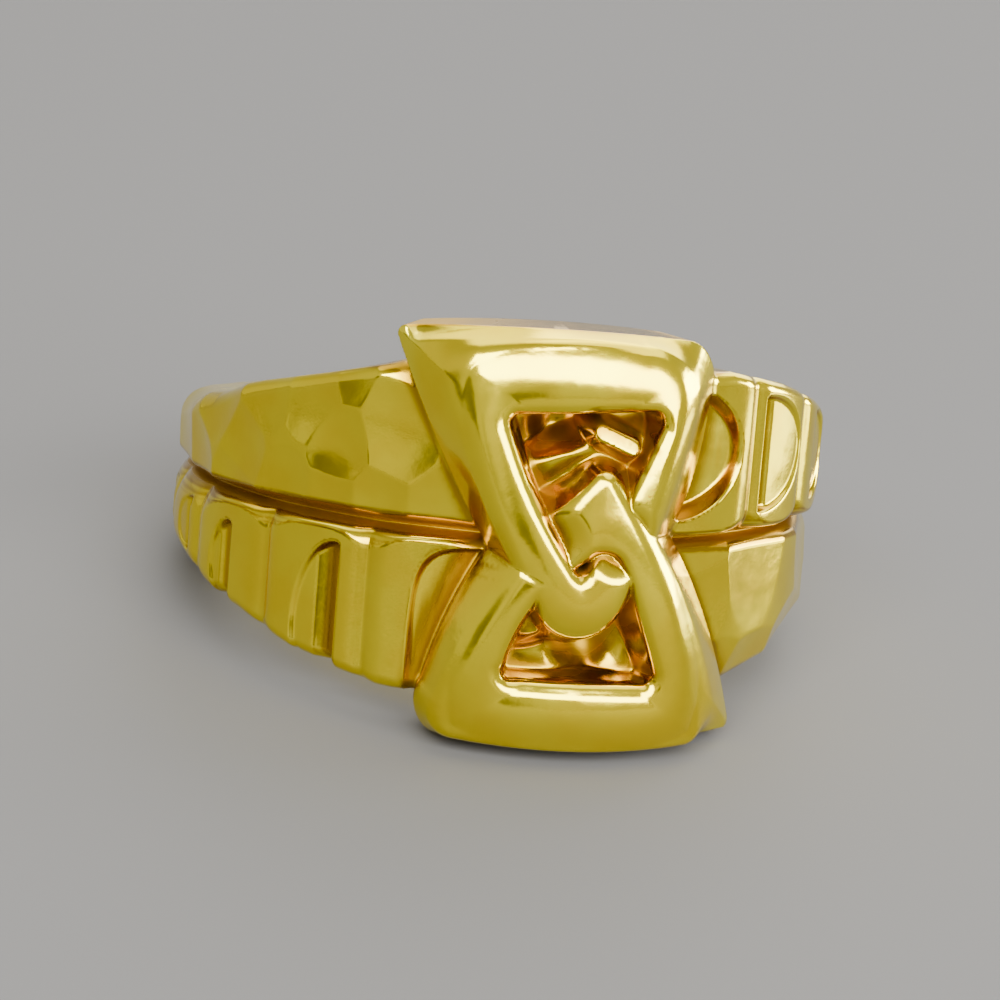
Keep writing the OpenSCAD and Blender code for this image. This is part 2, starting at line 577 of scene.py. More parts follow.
@dataclass(frozen=True)
class TriangleFrame:
    """One of the two interlocked frames: an open triangle with a crowned face and flared sides.

    Its corners are given as length round the ring at the face's radius, and as height. The outer
    edge is wider, by wide_edge, where it faces edge_light, and the inner edge, by wide_brink,
    where it faces up or right. The blurs are in cells of the charts.
    """

    face: Triangle
    opening: Triangle
    foot: Triangle
    turned_over: bool = False
    face_radius: float = 12.1
    foot_radius: float = 10.6
    crown: float = 0.2
    dome: float = 0.016
    outer_edge: float = 0.27
    wide_edge: float = 0.05
    edge_light: tuple[float, float] = (0.6, 0.8)
    inner_edge: float = 0.28
    wide_brink: float = 0.26
    most_crown: float = 0.8
    draft: float = 0.05
    dip: float = 0.55
    dip_reach: float = 1.35
    crossing: tuple[float, float] = (1.47, 0.31)
    flat_tip: float = 0.0
    tip_reach: float = 1.3
    dents: tuple[Dent, ...] = ()
    reach: tuple[float, float] = (8.4, 7.0)
    cell: float = 0.03
    blur: float = 1.0
    edge_blur: float = 6.0
    brink_blur: float = 5.0
    corner_steps: int = 14
    side_steps: int = 24

    @property
    def sign(self) -> int:
        """Tell which way up the frame is: 1, or -1 when turned over."""
        return -1 if self.turned_over else 1

    def outline(self, corners: Triangle) -> Array:
        """Walk round a triangle with rounded corners and bowed sides.

        Args:
            corners: Its three corners.

        Returns:
            Points of its outline.
        """
        spots = [np.array([c.along, c.height]) for c in corners]
        normals = []
        for k, corner in enumerate(corners):
            nxt = corners[(k + 1) % 3]
            run = spots[(k + 1) % 3] - spots[k]
            turn = math.acos((corner.rounding - nxt.rounding) / np.hypot(*run))
            normals.append(math.atan2(run[1], run[0]) - turn)
        points = []
        for k, corner in enumerate(corners):
            start, end = normals[k - 1], normals[k]
            while end < start:
                end += 2 * math.pi
            for t in np.linspace(start, end, self.corner_steps):
                points.append(spots[k] + corner.rounding * np.array([math.cos(t), math.sin(t)]))
            out = np.array([math.cos(end), math.sin(end)])
            first = spots[k] + corner.rounding * out
            last = spots[(k + 1) % 3] + corners[(k + 1) % 3].rounding * out
            for t in np.linspace(0, 1, self.side_steps)[1:-1]:
                points.append(first + (last - first) * t + 4 * t * (1 - t) * corner.bow * out)
        return np.array(points)

    def distances(self, corners: Triangle, u: Array, v: Array) -> Array:
        """Give signed distances to a triangle, negative inside.

        Args:
            corners: Its three corners.
            u: Lengths round the ring.
            v: Heights.

        Returns:
            Distances.
        """
        loop = self.outline(corners)
        best = np.full(u.shape, VAST)
        inside = np.zeros(u.shape, bool)
        for (x0, y0), (x1, y1) in zip(loop, np.roll(loop, -1, axis=0)):
            dx, dy = x1 - x0, y1 - y0
            share = np.clip(((u - x0) * dx + (v - y0) * dy) / (dx * dx + dy * dy), 0, 1)
            best = np.minimum(best, (u - x0 - share * dx) ** 2 + (v - y0 - share * dy) ** 2)
            if dy != 0:
                crosses = (y0 > v) != (y1 > v)
                inside ^= crosses & (u < dx * (v - y0) / dy + x0)
        return np.where(inside, -np.sqrt(best), np.sqrt(best))

    def charts(self) -> dict[str, Chart]:
        """Lay out the frame's outlines and its face.

        Returns:
            Charts named face, foot, opening, top, edge and brink.
        """
        stations = (np.arange(-reach, reach, self.cell) for reach in self.reach)
        u, v = np.meshgrid(*stations, indexing="ij")
        face = self.distances(self.face, u, v)
        foot = self.distances(self.foot, u, v)
        opening = self.distances(self.opening, u, v)
        off_middle = (-face - opening) / 2
        from_crossing = (u - self.crossing[0]) ** 2 + (v - self.crossing[1]) ** 2
        near = np.clip(1 - from_crossing / self.dip_reach**2, 0, 1)
        tip = self.face[1]
        at_tip = np.exp(-((u - tip.along) ** 2 + (v - tip.height) ** 2) / self.tip_reach**2)
        rise = np.minimum(off_middle**2, self.most_crown)
        crown = self.crown * rise * (1 - self.flat_tip * at_tip)
        top = self.face_radius - self.dome * v**2 - crown - self.dip * near**2
        out_u, out_v = np.gradient(self.sign * face, self.cell, self.cell)
        lit = self.edge_light[0] * out_u + self.edge_light[1] * out_v
        edge = self.outer_edge + self.wide_edge * np.clip(lit, 0, 1)
        in_u, in_v = np.gradient(-self.sign * opening, self.cell, self.cell)
        brink = self.inner_edge + self.wide_brink * np.clip(np.maximum(in_u, in_v), 0, 1)
        found = {
            "face": face,
            "foot": foot,
            "opening": opening,
            "top": top,
            "edge": soften(edge, self.edge_blur, False),
            "brink": soften(brink, self.brink_blur, False),
        }
        start, step = (-self.reach[0], -self.reach[1]), (self.cell, self.cell)
        return {k: Chart(start, step, soften(x, self.blur, False)) for k, x in found.items()}

    def distance(
        self, charts: dict[str, Chart], angle: Array, radius: Array, height: Array
    ) -> Array:
        """Give signed distances to the frame.

        Args:
            charts: The frame's charts.
            angle: Angles round the ring.
            radius: Radii.
            height: Heights.

        Returns:
            Distances, negative inside.
        """
        u, v = self.sign * np.radians(angle) * self.face_radius, self.sign * height
        domed = self.face_radius - self.dome * v**2
        span = domed - self.foot_radius
        down = np.clip((domed - radius) / span, 0, 1)
        face = charts["face"].at(u, v)
        foot = charts["foot"].at(u, v)
        opening = charts["opening"].at(u, v)
        flank = face + (foot - face) * down
        lean = 1 / np.sqrt(1 + ((foot - face) / span) ** 2)
        top = radius - charts["top"].at(u, v)
        solid = cut_rounded(flank * lean, top, charts["edge"].at(u, v))
        for dent in self.dents:
            solid = dent.cut(solid, angle, radius, height)
        draft = self.draft * (domed - radius)
        return cut_rounded(solid, -opening - draft, charts["brink"].at(u, v))


@dataclass(frozen=True)
class Mound:
    """A rounded rise between two places, each a length round the ring and a height."""

    start: tuple[float, float]
    end: tuple[float, float]
    half_width: float
    softness: float
    top: float
    lean: float = 0.0

    def lay(self, u: Array, v: Array, radius: Array) -> Array:
        """Raise a surface.

        Args:
            u: Lengths round the ring.
            v: Heights.
            radius: The surface's radii.

        Returns:
            The radii with the mound on them.
        """
        (u0, v0), (u1, v1) = self.start, self.end
        du, dv = u1 - u0, v1 - v0
        share = np.clip(((u - u0) * du + (v - v0) * dv) / (du * du + dv * dv), 0, 1)
        away = np.hypot(u - u0 - share * du, v - v0 - share * dv)
        rise = ease(self.half_width + self.softness, self.half_width - self.softness, away)
        top = self.top - self.lean * (v - (v0 + v1) / 2)
        return radius + np.maximum(top - radius, 0) * rise


@dataclass(frozen=True)
class OpeningFloor:
    """The floor of a frame's opening: a bowl, and a plateau past a slanting edge.

    Places are (length round the ring, height) of the frame. The edge runs between two of them;
    the plateau lies to its right, and below its own top, and falls away from a brow below that.
    """

    frame: TriangleFrame
    edge: tuple[tuple[float, float], tuple[float, float]]
    deepest: tuple[float, float]
    mounds: tuple[Mound, ...] = ()
    top: float = 3.65
    recess_radius: float = 9.5
    bowl: float = 0.5
    bowl_rim: float = 0.9
    plateau_radius: float = 10.9
    fall: float = 0.34
    brow: float = 0.9
    longest_fall: float = 2.0
    softness: float = 0.42
    border: tuple[float, float] = (0.5, 0.25)

    def lay(self, angle: Array, height: Array, radius: Array) -> Array:
        """Sink or raise the bands inside the opening.

        Args:
            angle: Angles round the ring.
            height: Heights.
            radius: The bands' radii there.

        Returns:
            The radii with the floor laid in.
        """
        sign = self.frame.sign
        u, v = sign * np.radians(angle) * self.frame.face_radius, sign * height
        (u0, v0), (u1, v1) = self.edge
        length = math.hypot(u1 - u0, v1 - v0)
        past = ((u - u0) * (v1 - v0) - (v - v0) * (u1 - u0)) / length
        soft = self.softness
        rise = ease(-soft, soft, past) * ease(self.top + soft, self.top - soft, v)
        below = np.clip(self.top - self.brow - v, 0, self.longest_fall)
        plateau = self.plateau_radius - self.fall * below
        off = (u - self.deepest[0]) ** 2 + (v - self.deepest[1]) ** 2
        recess = self.recess_radius + self.bowl_rim * np.tanh(self.bowl * off / self.bowl_rim)
        floor = recess + (plateau - recess) * rise
        for mound in self.mounds:
            floor = mound.lay(u, v, floor)
        inside = ease(*self.border, self.frame.distances(self.frame.opening, u, v))
        return radius + (floor - radius) * inside


@dataclass
class RingSkin:
    """A closed skin of quads drawn round a solid that is given by signed distances.

    The cells follow the ring: angle, radius and height. Past the angle front_end, on both sides
    of the ornament, they are back_stretch times as long. Only blocks of cells within reach of the
    surface are measured, a batch at a time.
    """

    distance: Callable[[Array, Array, Array], Array]
    fineness: float = 0.07
    front_end: float = 75.0
    back_stretch: float = 1.5
    mean_radius: float = 10.6
    radii: tuple[float, float] = (8.45, 12.45)
    heights: tuple[float, float] = (-6.7, 6.7)
    block: int = 4
    reach: float = 0.45
    batch: int = 1 << 20

    def stations(self) -> tuple[Array, Array, Array]:
        """Give the angles, radii and heights of the cells' corners."""
        step = math.degrees(self.fineness / self.mean_radius)
        end, rest = self.front_end, 360 - 2 * self.front_end
        front, back = int(2 * end / step), int(rest / (step * self.back_stretch))
        count = (front + back) // self.block * self.block
        front_count = int(count * front / (front + back))
        angles = np.concatenate(
            [
                np.linspace(-end, end, front_count, endpoint=False),
                np.linspace(end, 360 - end, count - front_count, endpoint=False),
            ]
        )
        return angles, self._even(*self.radii), self._even(*self.heights)

    def _even(self, low: float, high: float) -> Array:
        """Space stations evenly in whole blocks.

        Args:
            low: First station.
            high: Last station.

        Returns:
            Stations.
        """
        blocks = math.ceil((high - low) / self.fineness / self.block)
        return np.linspace(low, high, blocks * self.block + 1)

    def build(self) -> tuple[Array, Array]:
        """Draw the skin.

        Returns:
            Points in the ring's frame, and quads as indices of points.
        """
        angles, radii, heights = self.stations()
        shape = (len(angles), len(radii), len(heights))
        cells = self._near(angles, radii, heights)
        nodes = np.zeros(shape, bool)
        for di, dj, dk in CELL_CORNERS:
            target = nodes[:, dj : dj + shape[1] - 1, dk : dk + shape[2] - 1]
            target |= np.roll(cells, di, axis=0)
        values = np.full(shape, np.float32(1.0))
        i, j, k = np.nonzero(nodes)
        found = np.empty(len(i), np.float32)
        for first in range(0, len(i), self.batch):
            part = slice(first, first + self.batch)
            turn = (angles[i[part]] + 180) % 360 - 180
            found[part] = self.distance(turn, radii[j[part]], heights[k[part]])
        values[i, j, k] = found
        inside = values < 0
        count = sum(self._corner(inside, corner).astype(np.int8) for corner in CELL_CORNERS)
        mixed = cells & (count > 0) & (count < len(CELL_CORNERS))
        ci, cj, ck = np.nonzero(mixed)
        number = np.full(mixed.shape, -1, np.int32)
        number[ci, cj, ck] = np.arange(len(ci))
        points = self._crossings(values, ci, cj, ck, angles, radii, heights)
        return points, self._quads(inside, nodes, number)

    def _corner(self, values: Array, corner: tuple[int, int, int]) -> Array:
        """Read each cell's value at one of its corners.

        Args:
            values: Values at the stations.
            corner: Which corner, as steps from the first.

        Returns:
            One value for each cell.
        """
        di, dj, dk = corner
        rolled = np.roll(values, -di, axis=0)
        return rolled[:, dj : dj + values.shape[1] - 1, dk : dk + values.shape[2] - 1]

    def _near(self, angles: Array, radii: Array, heights: Array) -> Array:
        """Find the cells that the solid's surface may pass through.

        Args:
            angles: Stations round the ring.
            radii: Stations outwards.
            heights: Stations along the axis.

        Returns:
            One flag for each cell.
        """
        b = self.block
        a, r, h = np.meshgrid(angles[::b], radii[::b], heights[::b], indexing="ij")
        turn = (a + 180) % 360 - 180
        coarse = np.abs(self.distance(turn.ravel(), r.ravel(), h.ravel())).reshape(a.shape)
        least = np.min([self._corner(coarse, corner) for corner in CELL_CORNERS], axis=0)
        near = least < self.reach
        return near.repeat(b, 0).repeat(b, 1).repeat(b, 2)

    def _crossings(
        self,
        values: Array,
        ci: Array,
        cj: Array,
        ck: Array,
        angles: Array,
        radii: Array,
        heights: Array,
    ) -> Array:
        """Put one point in each cell that the surface passes through.

        Args:
            values: Signed distances at the stations.
            ci: The cells' first indices.
            cj: The cells' second indices.
            ck: The cells' third indices.
            angles: Stations round the ring.
            radii: Stations outwards.
            heights: Stations along the axis.

        Returns:
            Points in the ring's frame.
        """
        turns = values.shape[0]
        total = np.zeros((len(ci), 3))
        hits = np.zeros(len(ci))
        read = {c: values[(ci + c[0]) % turns, cj + c[1], ck + c[2]] for c in CELL_CORNERS}
        for low in CELL_CORNERS:
            for axis in range(3):
                if low[axis]:
                    continue
                high = tuple(1 if n == axis else low[n] for n in range(3))
                a, b = read[low], read[high]
                crossed = (a < 0) != (b < 0)
                share = np.where(crossed, a / np.where(crossed, a - b, 1), 0)
                for n in range(3):
                    total[:, n] += np.where(crossed, low[n] + (share if n == axis else 0), 0)
                hits += crossed
        spot = total / hits[:, None]
        closed = np.append(angles, angles[0] + 360)
        angle = closed[ci] + (closed[ci + 1] - closed[ci]) * spot[:, 0]
        radius = radii[cj] + (radii[1] - radii[0]) * spot[:, 1]
        height = heights[ck] + (heights[1] - heights[0]) * spot[:, 2]
        a = np.radians(angle)
        return np.stack([radius * np.sin(a), -radius * np.cos(a), height], 1)

    def _quads(self, inside: Array, nodes: Array, number: Array) -> Array:
        """Join the cells' points round each crossed edge between stations.

        Args:
            inside: Whether each station is in the solid.
            nodes: Whether each station was measured.
            number: Each cell's point, or -1.

        Returns:
            Quads, facing outwards.
        """
        found = []
        shape = inside.shape
        for axis in range(3):
            if axis == 0:
                other, known = np.roll(inside, -1, 0), np.roll(nodes, -1, 0)
                here, known_here = inside, nodes
            else:
                cut = [slice(None)] * 3
                cut[axis] = slice(1, None)
                other, known = inside[tuple(cut)], nodes[tuple(cut)]
                cut[axis] = slice(None, -1)
                here, known_here = inside[tuple(cut)], nodes[tuple(cut)]
            i, j, k = np.nonzero((here != other) & known & known_here)
            steps = [n for n in range(3) if n != axis]
            ring = []
            for first, second in ((0, 0), (1, 0), (1, 1), (0, 1)):
                spot = [i, j, k]
                spot[steps[0]] = spot[steps[0]] - first
                spot[steps[1]] = spot[steps[1]] - second
                spot[0] = spot[0] % shape[0]
                ring.append(number[spot[0], spot[1], spot[2]])
            quad = np.stack(ring, 1)
            flip = here[i, j, k] ^ (axis == 1)
            quad[flip] = quad[flip][:, ::-1]
            found.append(quad[(quad >= 0).all(1)])
        return np.concatenate(found)


@dataclass
class GoldRing:
    """The whole casting: bands, frames and finger hole as one closed piece.

    Fillets join the frames to each other and to the bands. The ornament lies within its reach,
    an angle. Points settle onto the surface in steps no longer than longest_step.
    """

    hole: FingerHole
    bands: Bands
    frames: tuple[TriangleFrame, TriangleFrame]
    floors: tuple[OpeningFloor, OpeningFloor]
    place: RestingPlace
    frame_fillet: float = 0.05
    band_fillet: float = 0.12
    ornament_reach: float = 46.0
    fineness: float = 0.07
    quick_fineness: float = 0.14
    most_triangles: int = 190_000
    settle_span: float = 0.02
    least_slope: float = 0.2
    longest_step: float = 0.06
    normal_span: float = 0.03
    mark_reaches: tuple[float, ...] = (0.3, 0.7, 1.5)
    band_charts: tuple[Chart, ...] = ()
    frame_charts: list[dict[str, Chart]] = field(default_factory=list)

    def lay_out(self) -> None:
        """Draw up the charts that the distances are read from."""
        self.band_charts = self.bands.chart(self.floors)
        self.frame_charts = [one.charts() for one in self.frames]

    def distance(self, angle: Array, radius: Array, height: Array) -> Array:
        """Give signed distances to the ring.

        Args:
            angle: Angles round the ring, from -180 to 180.
            radius: Radii.
            height: Heights.

        Returns:
            Distances in millimetres, negative in the metal.
        """
        outside, lean = (chart.at(angle, height) for chart in self.band_charts)
        skin = (radius - outside) * lean
        ends = np.abs(height) - self.bands.width(angle, height)
        body = cut_rounded(skin, ends, self.bands.edge_radius(angle))
        front = np.abs(angle) < self.ornament_reach
        a, r, h = angle[front], radius[front], height[front]
        upper, lower = (
            one.distance(charts, a, r, h) for one, charts in zip(self.frames, self.frame_charts)
        )
        ornament = join_filleted(upper, lower, self.frame_fillet)
        body[front] = join_filleted(body[front], ornament, self.band_fillet)
        return cut_rounded(body, self.hole.radius - radius, self.hole.edge)

    def distance_at(self, points: Array) -> Array:
        """Give signed distances at points of the ring's frame.

        Args:
            points: Points in millimetres.

        Returns:
            Distances.
        """
        angle = np.degrees(np.arctan2(points[:, 0], -points[:, 1]))
        return self.distance(angle, np.hypot(points[:, 0], points[:, 1]), points[:, 2])

    def slope_at(self, points: Array, step: float) -> Array:
        """Give the direction in which the distance grows.

        Args:
            points: Points in millimetres.
            step: Half the length over which it is measured.

        Returns:
            One vector for each point.
        """
        shifts = np.eye(3) * step
        return np.stack(
            [
                (self.distance_at(points + s) - self.distance_at(points - s)) / (2 * step)
                for s in shifts
            ],
            1,
        )

    def settle(self, points: Array, rounds: int) -> Array:
        """Move points onto the ring's surface.

        Args:
            points: Points near the surface.
            rounds: How many times to correct them.

        Returns:
            Points on the surface.
        """
        for _ in range(rounds):
            slope = self.slope_at(points, self.settle_span)
            size = np.maximum((slope**2).sum(1), self.least_slope)
            move = (self.distance_at(points) / size)[:, None] * slope
            length = np.linalg.norm(move, axis=1, keepdims=True)
            points = points - move * np.minimum(1, self.longest_step / np.maximum(length, TINY))
        return points

    def thin(self, piece: bpy.types.Object, triangles: int) -> None:
        """Bring a piece down to the most triangles that it may have.

        Args:
            piece: The piece.
            triangles: How many it has.
        """
        if triangles <= self.most_triangles:
            return
        full = piece.data
        fewer = piece.modifiers.new("fewer", "DECIMATE")
        fewer.ratio = self.most_triangles / triangles
        graph = bpy.context.evaluated_depsgraph_get()
        reduced = bpy.data.meshes.new_from_object(piece.evaluated_get(graph))
        piece.modifiers.clear()
        piece.data = reduced
        bpy.data.meshes.remove(full)

    def build(self, name: str) -> bpy.types.Object:
        """Build the ring as one mesh.

        Args:
            name: The piece's name.

        Returns:
            The piece, in the row frame.
        """
        self.lay_out()
        fineness = self.fineness
        points, quads = RingSkin(self.distance, fineness).build()
        points = self.settle(points, 1)
        mesh = bpy.data.meshes.new(name + "_full")
        mesh.from_pydata((points * MM).tolist(), [], quads.tolist())
        piece = bpy.data.objects.new(name, mesh)
        bpy.context.scene.collection.objects.link(piece)
        self.thin(piece, len(quads) * 2)
        mesh = piece.data
        mesh.name = name
        points = np.empty(len(mesh.vertices) * 3, np.float32)
        mesh.vertices.foreach_get("co", points)
        points = self.settle(points.reshape(-1, 3).astype(float) / MM, 2)
        normals = self.slope_at(points, self.normal_span)
        normals /= np.maximum(np.linalg.norm(normals, axis=1, keepdims=True), TINY)
        self.mark(mesh, points, normals)
        placed = self.place.place(points)
        mesh.vertices.foreach_set("co", placed.astype(np.float32).ravel())
        mesh.polygons.foreach_set("use_smooth", np.ones(len(mesh.polygons), bool))
        mesh.normals_split_custom_set_from_vertices(normals @ self.place.turn().T)
        mesh.update()
        log.info("%s: %d points, %d faces", name, len(mesh.vertices), len(mesh.polygons))
        return piece

    def mark(self, mesh: bpy.types.Mesh, points: Array, normals: Array) -> None:
        """Note on the mesh where the surface is hollow and where it is a crest.

        Args:
            mesh: The mesh.
            points: Its points in the ring's frame.
            normals: Their normals.
        """
        hollow = np.zeros(len(points))
        crest = np.zeros(len(points))
        for reach in self.mark_reaches:
            above = self.distance_at(points + normals * reach) / reach
            below = self.distance_at(points - normals * reach) / reach
            hollow += np.clip(1 - above, 0, 1) / len(self.mark_reaches)
            crest += np.clip(1 + below, 0, 1) / len(self.mark_reaches)
        # The hollow note drives painted shade in the gold's colour, and the crest note a painted
        # highlight.
        for label, values in (("hollow", hollow), ("crest", crest)):
            layer = mesh.attributes.new(label, "FLOAT", "POINT")
            layer.data.foreach_set("value", values.astype(np.float32))


@dataclass(frozen=True)
class Marks:
    """Marks of one size in a finish, in millimetres, with finer layers of detail on them."""

    size: float
    rise: float
    detail: float


@dataclass(frozen=True)
class PolishedGold:
    """Polished yellow gold, duller in its hollows, with painted shade that darkens and reddens the
    hollows and a painted highlight that makes the crests paler.

    Its marks are the cast skin's slow swell, the hammer's chatter and the fine grain that
    polishing leaves. The pairs give where an effect starts and where it is full.
    """

    colour: Colour = (0.95, 0.76, 0.014)
    warm_colour: Colour = (0.92, 0.69, 0.01)
    # Painted highlight: the paler gold laid along crests.
    painted_highlight_colour: Colour = (0.97, 0.82, 0.04)
    # Painted shade: the dark red-brown laid into hollows.
    painted_shade_colour: Colour = (0.43, 0.25, 0.0025)
    warmth: tuple[float, float] = (0.35, 0.65)
    # hollow gives where the painted shade starts and where it is full.
    hollow: tuple[float, float] = (0.05, 0.36)
    dulled: tuple[float, float] = (0.3, 0.7)
    # crest gives where the painted highlight starts and where it is full.
    crest: tuple[float, float] = (0.3, 0.75)
    roughness: tuple[float, float] = (0.1, 0.19)
    hollow_roughness: float = 0.42
    swell: Marks = Marks(1.9, 0.03, 2.0)
    chatter: Marks = Marks(0.55, 0.006, 2.0)
    grain: Marks = Marks(0.09, 0.0009, 1.0)

    def spread(
        self, tree: bpy.types.NodeTree, source: bpy.types.NodeSocket, low: float, high: float
    ) -> bpy.types.NodeSocket:
        """Bring a value to the range 0 to 1, smoothly.

        Args:
            tree: The material's node tree.
            source: Socket with the value.
            low: Value that becomes 0.
            high: Value that becomes 1.

        Returns:
            The socket with the new value.
        """
        node = tree.nodes.new("ShaderNodeMapRange")
        node.interpolation_type = "SMOOTHSTEP"
        node.inputs["From Min"].default_value = low
        node.inputs["From Max"].default_value = high
        tree.links.new(source, node.inputs["Value"])
        return node.outputs["Result"]

    def noted(self, tree: bpy.types.NodeTree, name: str) -> bpy.types.NodeSocket:
        """Read what the mesh notes about its surface.

        Args:
            tree: The material's node tree.
            name: The note's name.

        Returns:
            The socket with the value.
        """
        node = tree.nodes.new("ShaderNodeAttribute")
        node.attribute_name = name
        return node.outputs["Fac"]

    def scatter(self, tree: bpy.types.NodeTree, marks: Marks) -> bpy.types.NodeSocket:
        """Lay out marks of one size.

        Args:
            tree: The material's node tree.
            marks: The marks.

        Returns:
            The socket with values round one half.
        """
        where = tree.nodes.new("ShaderNodeTexCoord")
        noise = tree.nodes.new("ShaderNodeTexNoise")
        noise.inputs["Scale"].default_value = 1 / (marks.size * MM)
        noise.inputs["Detail"].default_value = marks.detail
        tree.links.new(where.outputs["Object"], noise.inputs["Vector"])
        return noise.outputs["Fac"]

    def blend(
        self,
        tree: bpy.types.NodeTree,
        share: bpy.types.NodeSocket,
        first: bpy.types.NodeSocket | Colour,
        second: Colour,
    ) -> bpy.types.NodeSocket:
        """Mix two colours.

        Args:
            tree: The material's node tree.
            share: Socket with the second colour's share.
            first: First colour, or the socket that gives it.
            second: Second colour.

        Returns:
            The socket with the mixed colour.
        """
        node = tree.nodes.new("ShaderNodeMix")
        node.data_type = "RGBA"
        tree.links.new(share, node.inputs[0])
        if isinstance(first, tuple):
            node.inputs[6].default_value = (*first, 1)
        else:
            tree.links.new(first, node.inputs[6])
        node.inputs[7].default_value = (*second, 1)
        return node.outputs[2]

    def material(self) -> bpy.types.Material:
        """Build the finish.

        Returns:
            The material.
        """
        made = bpy.data.materials.new("polished_gold")
        made.use_nodes = True
        tree = made.node_tree
        shader = tree.nodes["Principled BSDF"]
        shader.inputs["Metallic"].default_value = 1.0
        layers = [(one, self.scatter(tree, one)) for one in (self.swell, self.chatter, self.grain)]
        swell, chatter = layers[0][1], layers[1][1]
        # The hollow note drives painted shade in the colour, and higher roughness there.
        hollow = self.noted(tree, "hollow")
        depth = self.spread(tree, hollow, *self.hollow)
        dullness = self.spread(tree, hollow, *self.dulled)
        # Painted highlight: the share of paler gold along crests.
        painted_highlight_share = self.spread(tree, self.noted(tree, "crest"), *self.crest)
        warmth = self.spread(tree, swell, *self.warmth)
        colour = self.blend(tree, warmth, self.colour, self.warm_colour)
        # Painted highlight along crests.
        colour = self.blend(tree, painted_highlight_share, colour, self.painted_highlight_colour)
        # Painted shade: hollows turn dark red-brown, with depth as its share.
        colour = self.blend(tree, depth, colour, self.painted_shade_colour)
        tree.links.new(colour, shader.inputs["Base Color"])
        gloss = tree.nodes.new("ShaderNodeMapRange")
        gloss.inputs["To Min"].default_value, gloss.inputs["To Max"].default_value = self.roughness
        tree.links.new(chatter, gloss.inputs["Value"])
        dull = tree.nodes.new("ShaderNodeMix")
        tree.links.new(dullness, dull.inputs[0])
        tree.links.new(gloss.outputs["Result"], dull.inputs[2])
        dull.inputs[3].default_value = self.hollow_roughness
        tree.links.new(dull.outputs[0], shader.inputs["Roughness"])
        normal = None
        for marks, height in layers:
            bump = tree.nodes.new("ShaderNodeBump")
            bump.inputs["Strength"].default_value = 1.0
            bump.inputs["Distance"].default_value = marks.rise * MM
            tree.links.new(height, bump.inputs["Height"])
            if normal:
                tree.links.new(normal, bump.inputs["Normal"])
            normal = bump.outputs["Normal"]
        tree.links.new(normal, shader.inputs["Normal"])
        return made


@dataclass(frozen=True)
class PaleFloor:
    """The matt pale floor that the ring lies on."""

    colour: Colour = (0.125, 0.123, 0.12)
    roughness: float = 0.7
    gloss: float = 0.12

    def material(self) -> bpy.types.Material:
        """Build the finish.

        Returns:
            The material.
        """
        made = bpy.data.materials.new("pale_floor")
        made.use_nodes = True
        shader = made.node_tree.nodes["Principled BSDF"]
        shader.inputs["Base Color"].default_value = (*self.colour, 1)
        shader.inputs["Roughness"].default_value = self.roughness
        shader.inputs["Specular IOR Level"].default_value = self.gloss
        return made


@dataclass(frozen=True)
class PhotoCamera:
    """The camera at the photograph's angle, as fitted in the ring's own frame.

    It looks from a distance in millimetres. scale is pixels to a millimetre at the ring's middle,
    which lies at the pixel named middle.
    """

    azimuth: float = -12.5
    elevation: float = 10.327
    roll: float = -4.695
    away: float = 130.0
    scale: float = 30.49
    middle: tuple[float, float] = (494.837, 477.206)
    picture: float = 1000.0
    sensor: float = 36.0
    clip: tuple[float, float] = (0.01, 20.0)

    def build(self, place: RestingPlace) -> bpy.types.Object:
        """Place the camera.

        Args:
            place: How the ring lies.

        Returns:
            The camera.
        """
        back = np.array(toward(self.azimuth, self.elevation))
        a, r = math.radians(self.azimuth), math.radians(self.roll)
        level = np.array([math.cos(a), math.sin(a), 0.0])
        upright = np.cross(back, level)
        right = level * math.cos(r) - upright * math.sin(r)
        up = level * math.sin(r) + upright * math.cos(r)
        half = self.picture / 2
        spot = back * self.away
        spot = spot - right * (self.middle[0] - half) / self.scale
        spot = spot + up * (self.middle[1] - half) / self.scale
        turn = place.turn()
        data = bpy.data.cameras.new("photo_camera")
        data.sensor_width = self.sensor
        data.lens = self.sensor * self.scale * self.away / self.picture
        data.clip_start, data.clip_end = self.clip
        camera = bpy.data.objects.new("photo_camera", data)
        axes = [turn @ v for v in (right, up, back)]
        matrix = Matrix.Identity(4)
        for n, axis in enumerate(axes):
            for m in range(3):
                matrix[m][n] = axis[m]
        for m, value in enumerate(place.place(spot[None])[0]):
            matrix[m][3] = value
        camera.matrix_world = matrix
        bpy.context.scene.collection.objects.link(camera)
        bpy.context.scene.camera = camera
        return camera


@dataclass(frozen=True)
class Softbox:
    """One soft studio light, aimed at the ring's middle, or lying flat and facing up."""

    name: str
    azimuth: float
    elevation: float
    away: float
    width: float
    height: float
    strength: float
    turn: float = 0.0
    faces_up: bool = False
    colour: Colour = (1.0, 1.0, 1.0)
    aim_height: float = 0.006

    def build(self) -> bpy.types.Object:
        """Place the light.

        Returns:
            The light.
        """
        data = bpy.data.lights.new(self.name, "AREA")
        data.shape = "RECTANGLE"
        data.size, data.size_y = self.width, self.height
        data.energy = self.strength
        data.color = self.colour
        lamp = bpy.data.objects.new(self.name, data)
        back = toward(self.azimuth, self.elevation)
        lamp.location = back * self.away + Vector((0, 0, self.aim_height))
        lamp.rotation_mode = "QUATERNION"
        aim = (Vector((0, 0, 1)) if self.faces_up else -back).to_track_quat("-Z", "Y")
        lamp.rotation_quaternion = aim @ Quaternion((0, 0, 1), math.radians(self.turn))
        lamp.visible_camera = False
        bpy.context.scene.collection.objects.link(lamp)
        return lamp


